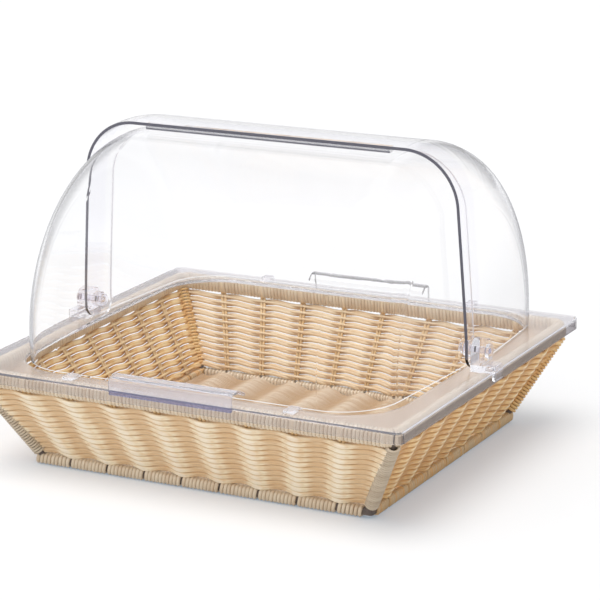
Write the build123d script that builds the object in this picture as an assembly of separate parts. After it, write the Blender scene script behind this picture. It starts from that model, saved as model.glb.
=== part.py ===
from build123d import *
import os
from math import atan2, cos, radians, sqrt, tan

# Countertop bread display bin: a tapered woven basket on a steel frame, carrying a
# clear cover whose front and back lids roll up about one axis across the bin.
# Millimetres. X runs to the right, Y to the back, Z up; the origin is the middle of
# the footprint, on the counter.

# ---------------------------------------------------------------- driving dimensions
# cover frame: the clear flange and skirt that sit on the basket's rim
frame_width = 480.0
frame_depth = 420.0
frame_corner = 9.0
flange_top = 107.0
flange_thick = 3.0
skirt_thick = 3.0
skirt_drop = 8.5
opening_corner = 58.0
opening_lap = 1.5          # how far the flange reaches in past the lids' outer faces
frame_edge_radius = 1.2

# basket
base_width = 376.0
base_depth = 326.0
skirt_gap = 4.5            # from the skirt's inner face to the rim's wrapping
rim_band = 11.0
rim_height = 17.0
rim_corner = 16.0
rim_notch = 4.0            # bare gap in the rim's wrapping at each corner
base_band = 12.0
wrap_wall = 3.0            # thickness of the strand wound round the frame bars
base_corner_bare = 1.0     # the wrapping stops this much short of the corner cell
post_radius = 4.0
post_wrap_radius = 7.0
wall_thick = 7.0
wall_end_gap = 0.5
seat_gap = 0.3             # between soft pieces that only rest against each other

# stakes that the strands are woven round
stake_pitch = 42.3
stake_spread = 1.17        # the stakes stand this much wider apart at the rim
stake_width = 7.0
stake_thick = 3.0
front_stakes = 8
side_stakes = 7
wrap_notch = 3.0           # bare gap in the base's wrapping at each stake

# floor of the basket
floor_bottom = 4.0
floor_thick = 8.0             # the depth of the waves in its strands
floor_stake_thick = 2.5

# roll-top lids, both turned about the same axis
pivot_height = 126.5
lid_wall = 3.0
inner_radius = 187.0       # outer face of the front lid
outer_radius = 197.0       # outer face of the back lid
inner_half_width = 208.0
outer_half_width = 218.0
lid_corner = 58.0
lid_draft = 4.0            # degrees that the side panels lean in
lid_lap = 17.0             # each lid reaches this far past the axis
lid_gap = 1.5              # from the flange up to the lids' lower edges
pivot_disc = 15.0

# stiffening rib under the back lid's front edge
rib_length = 272.0
rib_width = 8.0
rib_thick = 3.5

# handles along the lids' lower edges
handle_width = 134.0
handle_rise = 14.0
handle_thick = 2.6
handle_bend = 4.0
lip_gap = 1.0
lip_drop = 3.5
ramp_drop = 7.0
ramp_share = 0.45          # of the way from the lid's face to the turned-down lip
handle_edge_radius = 0.9

# pivots
pin_radius = 3.0
running_gap = 0.05
face_gap = 0.15
head_gap = 0.3
pin_head_radius = 6.0
pin_head_thick = 3.0
pin_head_chamfer = 1.0
knuckle_radius = 12.0
knuckle_length = 12.5
cap_radius = 7.0
cap_thick = 4.0
cap_edge_radius = 1.3
pin_in_cap = 2.0
spacer_radius = 8.0
foot_width = 20.0
foot_height = 7.0
foot_reach = 3.3           # how far the foot stands out past the skirt
hook_gap = 0.3
hook_drop = 8.0
slot_width = 9.0
slot_height = 3.0
slot_sill = 2.0
foot_edge_radius = 1.5

# rest pads that the lids' lower edges come down on
pad_width = 10.0
pad_spread = 121.0
pad_length = 20.0
pad_height = 3.5
pad_step_gap = 1.5
pad_seat_gap = 0.3

# modelling allowances
cut_past = 1.0             # how far a cutting shape runs past what it cuts
sharp_corner = 0.5         # the least radius left inside a rounded ring

# ---------------------------------------------------------------- worked-out places
SIDES = ("front", "back", "left", "right")
CORNERS = {"front_left": (-1, -1), "front_right": (1, -1), "back_left": (-1, 1), "back_right": (1, 1)}

flange_bottom = flange_top - flange_thick
rim_top = flange_bottom
rim_bottom = rim_top - rim_height
rim_half_x = frame_width / 2 - skirt_thick - skirt_gap
rim_half_y = frame_depth / 2 - skirt_thick - skirt_gap
rim_bar_bottom = rim_bottom + wrap_wall
rim_bar_height = rim_height - 2 * wrap_wall
rim_bar_band = rim_band - 2 * wrap_wall
base_bar_size = base_band - 2 * wrap_wall
base_bar_top = wrap_wall + base_bar_size
base_line_x = base_width / 2 - base_band / 2
base_line_y = base_depth / 2 - base_band / 2
rim_line_x = rim_half_x - rim_band / 2
rim_line_y = rim_half_y - rim_band / 2
lid_bottom = flange_top + lid_gap
swing_radius = pivot_height - lid_bottom
knuckle_inner = outer_half_width + head_gap
knuckle_outer = knuckle_inner + knuckle_length
foot_outer = frame_width / 2 + foot_reach


def save(name, shape):
    """Writes one sub-part to its own STEP file."""
    shape.label = name
    export_step(shape, f"parts/{name}.step")


def group(solids):
    """Several separate solids that share one node."""
    return Compound(children=list(solids))


def rounded_slab(width, depth, corner, bottom, height):
    """A flat block with rounded corners, its underside at the given height."""
    return Pos(0, 0, bottom) * extrude(RectangleRounded(width, depth, corner), height)


def band_ring(half_x, half_y, corner, band, bottom, height):
    """A rounded rectangular ring of one band width."""
    outer = rounded_slab(2 * half_x, 2 * half_y, corner, bottom, height)
    inner_corner = max(corner - band, sharp_corner)
    inner = rounded_slab(2 * (half_x - band), 2 * (half_y - band), inner_corner, bottom, height)
    return outer - inner


def block(x, y, z):
    """A box given by its lowest and highest value along each axis."""
    centre = Pos((x[0] + x[1]) / 2, (y[0] + y[1]) / 2, (z[0] + z[1]) / 2)
    return centre * Box(x[1] - x[0], y[1] - y[0], z[1] - z[0])


def x_cylinder(radius, start, end, height):
    """A cylinder along X between two places, at the given height above the counter."""
    return Pos((start + end) / 2, 0, height) * Rot(0, 90, 0) * Cylinder(radius, end - start)


def leaning(bottom_at, top_at, bottom_size, top_size, z_bottom, z_top):
    """A straight-sided piece between a rectangle below and a rectangle above."""
    low = Pos(bottom_at[0], bottom_at[1], z_bottom) * Rectangle(*bottom_size)
    high = Pos(top_at[0], top_at[1], z_top) * Rectangle(*top_size)
    return loft([low.face(), high.face()], ruled=True)


# ---------------------------------------------------------------- steel frame
def rim_bar():
    """The bar that stiffens the rim, hidden inside its wrapping."""
    corner = rim_corner - wrap_wall
    return band_ring(rim_half_x - wrap_wall, rim_half_y - wrap_wall, corner,
                     rim_bar_band, rim_bar_bottom, rim_bar_height)


def base_bar():
    """The bar round the foot of the basket."""
    return band_ring(base_width / 2 - wrap_wall, base_depth / 2 - wrap_wall, wrap_wall,
                     base_bar_size, wrap_wall, base_bar_size)


def post_line(height):
    """Where the corner rods' axis stands at a height, for the back right corner."""
    centre_radius = rim_corner - wrap_wall - rim_bar_band / 2
    set_in = (rim_corner - rim_band / 2) - centre_radius * cos(radians(45))
    top_x = rim_line_x - set_in
    top_y = rim_line_y - set_in
    share = (height - base_bar_top) / (rim_bar_bottom - base_bar_top)
    return base_line_x + share * (top_x - base_line_x), base_line_y + share * (top_y - base_line_y)


def post_rod(radius, z_bottom, z_top, sign_x, sign_y):
    """A leaning rod along one corner, cut level at both ends."""
    reach = 3 * post_wrap_radius
    low = post_line(z_bottom - reach)
    high = post_line(z_top + reach)
    start = Vector(sign_x * low[0], sign_y * low[1], z_bottom - reach)
    end = Vector(sign_x * high[0], sign_y * high[1], z_top + reach)
    rod = Solid.make_cylinder(radius, (end - start).length, Plane(origin=start, z_dir=end - start))
    keep = block((-frame_width, frame_width), (-frame_depth, frame_depth), (z_bottom, z_top))
    return rod & keep


# ---------------------------------------------------------------- wrapping
def rim_wraps():
    """The rim's wrapping, one length to a side, each turning part of the way round its corners."""
    ring = band_ring(rim_half_x, rim_half_y, rim_corner, rim_band, rim_bottom, rim_height) - rim_bar()
    for sign_x, sign_y in CORNERS.values():
        turn = 45 if sign_x * sign_y > 0 else -45
        at = Pos(sign_x * (rim_half_x - rim_corner), sign_y * (rim_half_y - rim_corner),
                 rim_bottom + rim_height / 2)
        ring -= at * Rot(0, 0, turn) * Box(4 * rim_corner, rim_notch, 2 * rim_height)
        ring -= post_rod(post_radius, rim_bottom - cut_past, rim_bar_bottom, sign_x, sign_y)
    lengths = ring.solids()
    return {
        "front": min(lengths, key=lambda s: s.center().Y),
        "back": max(lengths, key=lambda s: s.center().Y),
        "left": min(lengths, key=lambda s: s.center().X),
        "right": max(lengths, key=lambda s: s.center().X),
    }


def stake_places(count):
    """Where the stakes stand along a wall's foot."""
    return [(i - (count - 1) / 2) * stake_pitch for i in range(count)]


def base_wrap(side):
    """The wrapped lengths between the stakes along one side of the base."""
    along_x = side in ("front", "back")
    count = front_stakes if along_x else side_stakes
    half = (base_width if along_x else base_depth) / 2 - base_band - base_corner_bare
    across = (base_line_y if along_x else base_line_x) * (1 if side in ("back", "right") else -1)
    cuts = [-half] + [p for p in stake_places(count) if abs(p) < half - wrap_notch] + [half]
    pieces = []
    for i in range(len(cuts) - 1):
        start = cuts[i] + (wrap_notch / 2 if i > 0 else 0)
        end = cuts[i + 1] - (wrap_notch / 2 if i < len(cuts) - 2 else 0)
        middle = (start + end) / 2
        sleeve = Box(end - start, base_band, base_band) - Box(end - start, base_bar_size, base_bar_size)
        if along_x:
            pieces.append(Pos(middle, across, base_band / 2) * sleeve)
        else:
            pieces.append(Pos(across, middle, base_band / 2) * Rot(0, 0, 90) * sleeve)
    return group(piece.solid() for piece in pieces)


# ---------------------------------------------------------------- woven walls and floor
def wall_end(axis, height):
    """How far a wall reaches along its length at a height, just clear of the corner's wrapping."""
    low = post_line(base_bar_top)[axis]
    high = post_line(rim_bar_bottom)[axis]
    lean = atan2(high - low, rim_bar_bottom - base_bar_top)
    return post_line(height)[axis] - (post_wrap_radius + wall_end_gap) / cos(lean)


def wall_line(axis, height):
    """How far out the middle of a wall's thickness stands at a height."""
    low = (base_line_x, base_line_y)[axis]
    high = (rim_line_x, rim_line_y)[axis]
    return low + (height - base_band) / (rim_bottom - base_band) * (high - low)


def wall_weave(side):
    """One leaning wall, as a slab between the base's and the rim's wrapping, grooved for its stakes."""
    along_x = side in ("front", "back")
    sign = 1 if side in ("back", "right") else -1
    axis = 0 if along_x else 1
    low_end = wall_end(axis, base_band)
    high_end = wall_end(axis, rim_bottom)
    if along_x:
        slab = leaning((0, sign * base_line_y), (0, sign * rim_line_y),
                       (2 * low_end, wall_thick), (2 * high_end, wall_thick), base_band, rim_bottom)
    else:
        slab = leaning((sign * base_line_x, 0), (sign * rim_line_x, 0),
                       (wall_thick, 2 * low_end), (wall_thick, 2 * high_end), base_band, rim_bottom)
    for stake in stake_bars(side, rim_bottom):
        slab -= stake
    return slab


def stake_bars(side, top):
    """The stakes let into the inner face of one wall, up to a height."""
    along_x = side in ("front", "back")
    sign = 1 if side in ("back", "right") else -1
    inset = wall_thick / 2 - stake_thick / 2
    low = sign * (wall_line(1 if along_x else 0, base_band) - inset)
    high = sign * (wall_line(1 if along_x else 0, top) - inset)
    size = (stake_width, stake_thick) if along_x else (stake_thick, stake_width)
    stakes = []
    for place in stake_places(front_stakes if along_x else side_stakes):
        share = (top - base_band) / (rim_bottom - base_band)
        wide = place * (1 + share * (stake_spread - 1))
        foot, head = ((place, low), (wide, high)) if along_x else ((low, place), (high, wide))
        stakes.append(leaning(foot, head, size, size, base_band, top))
    return stakes


def wall_stakes(side):
    """The stakes of one wall, just clear of the rim's wrapping."""
    return group(stake.solid() for stake in stake_bars(side, rim_bottom - seat_gap))


def floor_weave():
    """The woven floor inside the base, as a plain slab."""
    half_x = base_width / 2 - base_band
    half_y = base_depth / 2 - base_band
    return block((-half_x, half_x), (-half_y, half_y), (floor_bottom, floor_bottom + floor_thick))


def floor_stakes():
    """The stakes under the floor, running from front to back."""
    half_y = base_depth / 2 - base_band
    z = (floor_bottom - floor_stake_thick, floor_bottom)
    half = stake_width / 2
    return group(block((x - half, x + half), (-half_y, half_y), z).solid()
                 for x in stake_places(front_stakes))


# ---------------------------------------------------------------- cover frame
def cover_frame():
    """The clear flange with its big rounded opening, and the skirt round it."""
    opening_x = inner_half_width - opening_lap
    opening_y = sqrt(inner_radius ** 2 - swing_radius ** 2) - opening_lap
    flange = rounded_slab(frame_width, frame_depth, frame_corner, flange_bottom, flange_thick)
    flange -= rounded_slab(2 * opening_x, 2 * opening_y, opening_corner, flange_bottom, flange_thick)
    skirt = band_ring(frame_width / 2, frame_depth / 2, frame_corner, skirt_thick,
                      flange_bottom - skirt_drop, skirt_drop)
    frame = (flange + skirt).solid()
    top_face = frame.faces().sort_by(Axis.Z)[-1]
    rounded = top_face.outer_wire().edges() + top_face.inner_wires()[0].edges()
    return fillet(rounded, frame_edge_radius).solid()


# ---------------------------------------------------------------- lids
def dome(radius, half_width, corner):
    """A solid turned about the pivot axis: flat discs at the axis, leaning sides, flat crown."""
    crown_half = half_width - (radius - pivot_disc) * tan(radians(lid_draft))
    outline = make_face(Polyline(
        (-half_width, 0), (-half_width, pivot_disc), (-crown_half, radius),
        (crown_half, radius), (half_width, pivot_disc), (half_width, 0), close=True))
    crown_corners = outline.vertices().group_by(Axis.Y)[-1]
    outline = fillet(crown_corners, corner)
    upright = Plane(origin=(0, 0, pivot_height), x_dir=(1, 0, 0), z_dir=(0, -1, 0))
    axis = Axis((0, 0, pivot_height), (1, 0, 0))
    return revolve(upright * outline, axis, 360)


def lid_shell(radius, half_width, sign):
    """One lid, cut from a hollow dome; sign is -1 for the front lid and 1 for the back one."""
    shell = dome(radius, half_width, lid_corner)
    shell -= dome(radius - lid_wall, half_width - lid_wall, lid_corner - lid_wall)
    far = 2 * outer_radius
    behind = sorted((-sign * lid_lap, -sign * far))
    shell -= block((-far, far), behind, (pivot_height - far, pivot_height + far))
    shell -= block((-far, far), (-far, far), (pivot_height - far, lid_bottom))
    heel = sorted((0, -sign * far))
    below_axis = block((-far, far), heel, (lid_bottom, pivot_height))
    shell -= below_axis - x_cylinder(swing_radius, -far, far, pivot_height)
    shell -= x_cylinder(pin_radius + running_gap, -far, far, pivot_height)
    return shell.solid()


def back_edge_rib():
    """The strip glued under the crown of the back lid, along its front edge."""
    under = outer_radius - lid_wall
    strip = block((-rib_length / 2, rib_length / 2), (-lid_lap, -lid_lap + rib_width),
                  (pivot_height, pivot_height + outer_radius))
    ring = x_cylinder(under, -rib_length, rib_length, pivot_height)
    ring -= x_cylinder(under - rib_thick, -rib_length, rib_length, pivot_height)
    return (strip & ring).solid()


def lid_handle(radius, sign):
    """A bent strip that rises off a lid's face and turns down over the frame's edge."""
    crest = flange_top + handle_rise - handle_thick / 2
    lip = frame_depth / 2 + lip_gap + handle_thick / 2
    root = sqrt(radius ** 2 - (crest - ramp_drop - pivot_height) ** 2)
    path = FilletPolyline((root - lid_wall, crest - ramp_drop), (root + ramp_share * (lip - root), crest),
                          (lip, crest), (lip, flange_top - lip_drop), radius=handle_bend)
    section = trace(path, handle_thick)
    across = Plane(origin=(-handle_width / 2, 0, 0), x_dir=(0, 1, 0), z_dir=(1, 0, 0))
    strip = extrude(across * section, handle_width)
    strip -= x_cylinder(radius, -handle_width, handle_width, pivot_height)
    handle = max(strip.solids(), key=lambda s: s.volume)
    ends = [face for face in handle.faces() if abs(abs(face.center().X) - handle_width / 2) < sharp_corner]
    rounded = [edge for face in ends for edge in face.edges() if edge.center().Y > root + handle_thick]
    handle = fillet(rounded, handle_edge_radius).solid()
    return handle if sign > 0 else handle.mirror(Plane.XZ)


# ---------------------------------------------------------------- pivots, built for the right side
def pivot_bracket():
    """A knuckle beside the lids, on a foot that hooks over the skirt."""
    knuckle = x_cylinder(knuckle_radius, knuckle_inner, knuckle_outer, pivot_height)
    knuckle += block((knuckle_inner, knuckle_outer), (-knuckle_radius, knuckle_radius),
                     (flange_top, pivot_height))
    foot = block((knuckle_inner, foot_outer), (-foot_width / 2, foot_width / 2),
                 (flange_top, flange_top + foot_height))
    hook = block((frame_width / 2 + hook_gap, foot_outer), (-foot_width / 2, foot_width / 2),
                 (flange_top - hook_drop, flange_top + foot_height))
    foot = (foot + hook).solid()
    outer_face = foot.faces().sort_by(Axis.X)[-1]
    foot = fillet(outer_face.edges().sort_by(Axis.Z)[1:], foot_edge_radius)
    slot_start = knuckle_outer + slot_sill / 2
    slot = block((slot_start, slot_start + slot_width), (-foot_width, foot_width),
                 (flange_top + slot_sill, flange_top + slot_sill + slot_height))
    bracket = knuckle + foot - slot
    bracket -= x_cylinder(pin_radius, knuckle_inner - cut_past, knuckle_outer + cut_past, pivot_height)
    return bracket.solid()


def pivot_pin():
    """The pin that both lids turn on, with its head inside the front lid."""
    head_face = inner_half_width - lid_wall - head_gap
    shaft = x_cylinder(pin_radius, head_face, knuckle_outer + pin_in_cap, pivot_height)
    head = x_cylinder(pin_head_radius, head_face - pin_head_thick, head_face, pivot_height)
    head = chamfer(head.edges().filter_by(GeomType.CIRCLE).sort_by(Axis.X)[0], pin_head_chamfer)
    return (shaft + head).solid()


def pivot_cap():
    """The cap pressed on the pin's outer end."""
    cap = x_cylinder(cap_radius, knuckle_outer, knuckle_outer + cap_thick, pivot_height)
    cap = fillet(cap.edges().filter_by(GeomType.CIRCLE).sort_by(Axis.X)[-1], cap_edge_radius)
    bore = x_cylinder(pin_radius, knuckle_outer - cut_past, knuckle_outer + pin_in_cap, pivot_height)
    return (cap - bore).solid()


def pivot_spacer():
    """The washer that keeps the two lids' side panels apart."""
    start = inner_half_width + face_gap
    end = outer_half_width - lid_wall - face_gap
    washer = x_cylinder(spacer_radius, start, end, pivot_height)
    return (washer - x_cylinder(pin_radius, start - cut_past, end + cut_past, pivot_height)).solid()


def rest_pads(radius, sign):
    """The two stepped pads on the flange that one lid's lower edge comes down on."""
    edge = sqrt(radius ** 2 - swing_radius ** 2)
    step = edge + pad_step_gap
    seat = (edge - lid_wall, step)
    raised = (step, step + pad_length - lid_wall - pad_step_gap)
    raised = (raised[0], min(raised[1], frame_depth / 2 - lip_gap))
    pads = []
    for x in (-pad_spread, pad_spread):
        span = (x - pad_width / 2, x + pad_width / 2)
        pad = block(span, sorted(sign * v for v in seat), (flange_top, lid_bottom - pad_seat_gap))
        pad += block(span, sorted(sign * v for v in raised), (flange_top, flange_top + pad_height))
        pads.append(pad.solid())
    return group(pads)


# ---------------------------------------------------------------- the nodes
os.makedirs("parts", exist_ok=True)

save("base_frame_bar", base_bar().solid())
save("rim_frame_bar", rim_bar().solid())
for corner_name, (sx, sy) in CORNERS.items():
    rod = post_rod(post_radius, base_bar_top, rim_bar_bottom, sx, sy)
    sleeve_span = (base_band + seat_gap, rim_bottom - seat_gap)
    sleeve_outer = post_rod(post_wrap_radius, sleeve_span[0], sleeve_span[1], sx, sy)
    sleeve_bore = post_rod(post_radius, sleeve_span[0] - cut_past, sleeve_span[1] + cut_past, sx, sy)
    save(f"corner_post_{corner_name}", rod.solid())
    save(f"corner_wrap_{corner_name}", (sleeve_outer - sleeve_bore).solid())

wrapped_rim = rim_wraps()
for side_name in SIDES:
    save(f"rim_wrap_{side_name}", wrapped_rim[side_name])
    save(f"base_wrap_{side_name}", base_wrap(side_name))
    save(f"wall_weave_{side_name}", wall_weave(side_name).solid())
    save(f"wall_stakes_{side_name}", wall_stakes(side_name))

save("floor_weave", floor_weave().solid())
save("floor_stakes", floor_stakes())

save("cover_frame", cover_frame())
for side_name, piece_maker in (("bracket", pivot_bracket), ("pin", pivot_pin),
                               ("cap", pivot_cap), ("spacer", pivot_spacer)):
    right = piece_maker()
    save(f"pivot_{side_name}_right", right)
    save(f"pivot_{side_name}_left", right.mirror(Plane.YZ))
save("rest_pads_front", rest_pads(inner_radius, -1))
save("rest_pads_back", rest_pads(outer_radius, 1))

save("front_shell", lid_shell(inner_radius, inner_half_width, -1))
save("front_handle", lid_handle(inner_radius, -1))
save("back_shell", lid_shell(outer_radius, outer_half_width, 1))
save("back_handle", lid_handle(outer_radius, 1))
save("back_edge_rib", back_edge_rib())
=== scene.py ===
import math

import bmesh
import bpy
from bpy.props import FloatProperty, FloatVectorProperty, IntProperty, PointerProperty
from mathutils import Matrix, Vector


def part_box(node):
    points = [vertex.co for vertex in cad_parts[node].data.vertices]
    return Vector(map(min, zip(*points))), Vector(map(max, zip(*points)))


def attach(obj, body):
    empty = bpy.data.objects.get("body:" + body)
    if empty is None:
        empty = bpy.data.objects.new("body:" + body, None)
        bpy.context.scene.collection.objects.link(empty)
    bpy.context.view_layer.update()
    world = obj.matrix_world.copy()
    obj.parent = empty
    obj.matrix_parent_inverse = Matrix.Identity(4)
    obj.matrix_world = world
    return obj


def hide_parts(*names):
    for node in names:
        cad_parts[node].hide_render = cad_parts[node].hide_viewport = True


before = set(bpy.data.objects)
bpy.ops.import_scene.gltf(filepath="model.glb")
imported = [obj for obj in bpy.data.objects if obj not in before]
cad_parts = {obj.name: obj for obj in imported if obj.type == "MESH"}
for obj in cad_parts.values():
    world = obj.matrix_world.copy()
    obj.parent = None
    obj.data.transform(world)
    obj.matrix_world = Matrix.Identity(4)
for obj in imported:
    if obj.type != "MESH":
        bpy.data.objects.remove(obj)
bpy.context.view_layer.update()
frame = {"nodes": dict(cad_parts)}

bl_info = {
    "name": "Countertop Bread Display Bin",
    "version": (1, 0, 0),
    "blender": (4, 5, 0),
    "location": "3D View > Sidebar > Bread Bin",
    "description": "Weaves the basket, finishes the clear roll-top cover and sets the stage",
    "category": "Add Mesh",
}

nodes = frame["nodes"]

SIDES = {"front": 0, "right": 90, "back": 180, "left": -90}  # degrees round the bin from the front
CORNERS = {"front_left": (-1, -1), "front_right": (1, -1), "back_left": (-1, 1), "back_right": (1, 1)}
RUNS = {"x": (("front", "back"), 8), "y": (("right", "left"), 7)}  # sides of a run, pairs of stakes to a side
ROD_WIDE = 0.0086  # width of a corner rod where it is cut level
TINY = 1e-5

RIM_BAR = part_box("rim_frame_bar")
BASE_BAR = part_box("base_frame_bar")
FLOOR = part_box("floor_weave")
FLOOR_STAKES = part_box("floor_stakes")
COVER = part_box("cover_frame")
BACK_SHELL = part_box("back_shell")
FRONT_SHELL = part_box("front_shell")
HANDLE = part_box("front_handle")
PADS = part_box("rest_pads_front")
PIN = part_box("pivot_pin_right")
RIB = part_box("back_edge_rib")


# ---- settings
def hue(**settings):
    """A colour that a user can change."""
    return FloatVectorProperty(subtype="COLOR", **settings)


def span(**settings):
    """A length that a user can change."""
    return FloatProperty(unit="LENGTH", **settings)


class BinBasketSizes(bpy.types.PropertyGroup):
    strand_thick: span(
        name="Strand thickness", description="Thickness of the cane wound round the bars", default=0.003)
    turn_pitch: span(name="Turn pitch", description="From one turn of a winding to the next", default=0.0041)
    turn_slant: span(
        name="Turn slant", description="How far the top of a turn runs ahead of its foot", default=0.0011)
    stake_pitch: span(
        name="Stake pitch", description="From one pair of stakes to the next, at the base", default=0.0423)
    stake_spread: FloatProperty(
        name="Stake spread", description="How much wider the stakes stand at the rim", default=1.17)
    rows: IntProperty(name="Rows", description="Rows of strands in a wall", default=12)
    weave_out: span(
        name="Weave, out", description="How far a strand swings out of the wall at a stake", default=0.0027)
    weave_in: span(
        name="Weave, in", description="How far a strand swings inwards between stakes", default=0.0015)
    floor_depth: span(
        name="Floor depth", description="How far a floor strand swings up and down", default=0.0031)
    floor_pitch: span(name="Floor pitch", description="From one floor strand to the next", default=0.0031)
    drift: span(name="Drift", description="How far a strand wanders off its line", default=0.0012)
    top_gap: span(name="Top gap", description="Open slit above the top row", default=0.0006)
    bottom_gap: span(name="Bottom gap", description="Open slit below the bottom row", default=0.0)
    row_sweep: span(
        name="Row sweep", description="How far a strand drops as it passes outside a stake", default=0.001)
    corner_pitch: span(
        name="Corner pitch", description="From one turn round a corner rod to the next", default=0.0029)


class BinFinishes(bpy.types.PropertyGroup):
    winding: hue(name="Winding", description="Cane wound round the bars", default=(0.745, 0.63, 0.48))
    winding_deep: hue(
        name="Winding, deep", description="Darker turns of the windings", default=(0.66, 0.52, 0.37))
    # Painted shade: the base's cane darker and warmer along the sides than along the front and back.
    side_base_shaded: hue(
        name="Side base", description="Cane wound round the base at the sides", default=(0.63, 0.475, 0.285))
    wall: hue(name="Wall", description="Cane of the walls", default=(0.90, 0.765, 0.55))
    wall_deep: hue(
        name="Wall, deep", description="Darker lengths of the walls' cane", default=(0.80, 0.585, 0.355))
    # Painted highlight on the front and back walls' crests.
    wall_highlight: hue(
        name="Wall, pale", description="Walls' cane where it stands out", default=(0.97, 0.885, 0.75))
    # Painted shade: the side walls' cane is a darker, warmer copy of the front and back walls' cane.
    side: hue(name="Side wall", description="Cane of the side walls", default=(0.90, 0.62, 0.275))
    # Painted highlight on the side walls' crests.
    side_highlight: hue(
        name="Side wall, pale", description="Side walls' cane where it stands out", default=(1.0, 0.86, 0.58))
    # Painted shade, as the side walls' cane.
    side_shaded_deep: hue(name="Side wall, deep", description="Darker side walls' cane", default=(0.72, 0.42, 0.16))
    # The stakes' cane is darker than the walls', partly its own tone and partly painted shade of the recessed
    # stake columns.
    stake: hue(name="Stake", description="Cane of the stakes", default=(0.80, 0.58, 0.32))
    stake_deep: hue(
        name="Stake, deep", description="Darker lengths of the stakes", default=(0.66, 0.43, 0.20))
    floor: hue(name="Floor", description="Cane of the floor", default=(0.79, 0.675, 0.54))
    floor_deep: hue(
        name="Floor, deep", description="Darker lengths of the floor's cane", default=(0.60, 0.44, 0.29))
    steel: hue(name="Steel", description="Paint on the steel bars", default=(0.085, 0.065, 0.055))
    clear: hue(name="Clear", description="Light let through the clear plastic", default=(0.995, 0.995, 1.0))
    frame: hue(
        name="Frame", description="Light let through the cover frame's flange", default=(0.925, 0.915, 0.94))
    handle: hue(name="Handle", description="Light let through the handles", default=(0.945, 0.94, 0.975))
    grip: hue(name="Grip", description="Light let through the front handle", default=(0.89, 0.895, 0.965))
    # Painted shade where the plastic is seen along its surface, towards its silhouettes.
    silhouette_shade: hue(
        name="Rim light", description="Light let through along the plastic's surface",
        default=(0.48, 0.48, 0.58))
    # Painted shade on the clear plastic's dark edges.
    edge: hue(name="Edge", description="Sawn edges of the clear sheet", default=(0.125, 0.125, 0.16))
    # Painted highlight on the cover frame's rounded side edges and the front lid's sawn edge.
    edge_highlight: hue(
        name="Pale edge", description="Rounded side edges of the cover frame", default=(0.80, 0.80, 0.86))
    # Painted reflection of darker surroundings on the frame's skirt.
    skirt: hue(
        name="Skirt", description="Light let through the cover frame's skirt", default=(0.40, 0.375, 0.39))
    lap: hue(
        name="Lap", description="Light let through where one lid laps the other",
        default=(0.965, 0.962, 0.988))
    lip: hue(name="Lip", description="Light let through the handles' lower lips", default=(0.40, 0.41, 0.60))
    bend: FloatProperty(name="Bend", description="Refractive index of the clear plastic", default=1.25)
    fitting_bend: FloatProperty(
        name="Fitting bend", description="Refractive index of the pivot fittings", default=1.10)


class BinStage(bpy.types.PropertyGroup):
    around: FloatProperty(
        name="Around", description="Camera's turn to the right of the front", subtype="ANGLE",
        default=math.radians(28.77))
    above: FloatProperty(
        name="Above", description="Camera's height angle", subtype="ANGLE", default=math.radians(15.76))
    roll: FloatProperty(
        name="Roll", description="Camera's roll", subtype="ANGLE", default=math.radians(-1.12))
    away: span(name="Away", description="Camera's distance from the middle of the bin", default=2.709)
    lens: FloatProperty(
        name="Lens", description="Focal length on a 36 mm sensor, in millimetres", default=162.4)
    aside: FloatProperty(name="Aside", description="Sideways shift of the picture", default=0.0392)
    fill: FloatProperty(name="Fill", description="Light from the whole surroundings", default=0.70)
    lean: FloatProperty(
        name="Lean", description="How much more of the fill comes from the front left", default=0.55)
    key: FloatProperty(name="Key", description="Strength of the main lamp", default=1.42)
    glow: FloatProperty(name="Glow", description="Light that the floor adds of its own", default=0.215)
    dusk: FloatProperty(
        name="Dusk", description="How dark the plastic mirrors what is beside the backdrop", default=0.45)

# ---- modelling helpers
def select_only(*objects):
    """Selects these objects and makes the first one active."""
    bpy.ops.object.select_all(action="DESELECT")
    for each in objects:
        each.select_set(True)
    bpy.context.view_layer.objects.active = objects[0]


def open_mesh(piece):
    """Enters edit mode on a piece with its whole mesh selected."""
    select_only(piece)
    bpy.ops.object.mode_set(mode="EDIT")
    bpy.ops.mesh.select_all(action="SELECT")


def close_mesh():
    """Leaves edit mode."""
    bpy.ops.object.mode_set(mode="OBJECT")


def shift(test, offset):
    """In edit mode, moves the vertices whose place passes a test."""
    mesh = bpy.context.object.data
    cage = bmesh.from_edit_mesh(mesh)
    for vertex in cage.verts:
        vertex.select_set(test(vertex.co))
    cage.select_flush_mode()
    bmesh.update_edit_mesh(mesh)
    bpy.ops.transform.translate(value=offset)


def apply_place(piece):
    """Puts an object's place into its mesh."""
    select_only(piece)
    bpy.ops.object.transform_apply(location=True, rotation=True, scale=True)


def start_piece(primitive, scale=(1, 1, 1), **settings):
    """Adds a primitive with everything else deselected and puts its place in its mesh."""
    bpy.ops.object.select_all(action="DESELECT")
    primitive(**settings)
    piece = bpy.context.object
    piece.scale = scale
    apply_place(piece)
    return piece


def modify(piece, kind, **settings):
    """Adds a modifier, sets it and applies it."""
    select_only(piece)
    bpy.ops.object.modifier_add(type=kind)
    modifier = piece.modifiers[-1]
    for key, setting in settings.items():
        setattr(modifier, key, setting)
    bpy.ops.object.modifier_apply(modifier=modifier.name)


def repeat(piece, step, count, joined=False):
    """Repeats a piece along a step."""
    modify(piece, "ARRAY", use_relative_offset=False, use_constant_offset=True,
           constant_offset_displace=step, count=count, use_merge_vertices=joined, merge_threshold=TINY)


def wander(piece, name, axis, reach, grain):
    """Lets a piece drift off its line by a soft noise."""
    texture = bpy.data.textures.new(name, "CLOUDS")
    texture.noise_scale = grain
    texture.noise_depth = 1
    modify(piece, "DISPLACE", texture=texture, direction=axis, strength=reach, mid_level=0.5)


def duplicate(piece):
    """Copies a piece with its own mesh."""
    select_only(piece)
    bpy.ops.object.duplicate()
    return bpy.context.object


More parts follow.
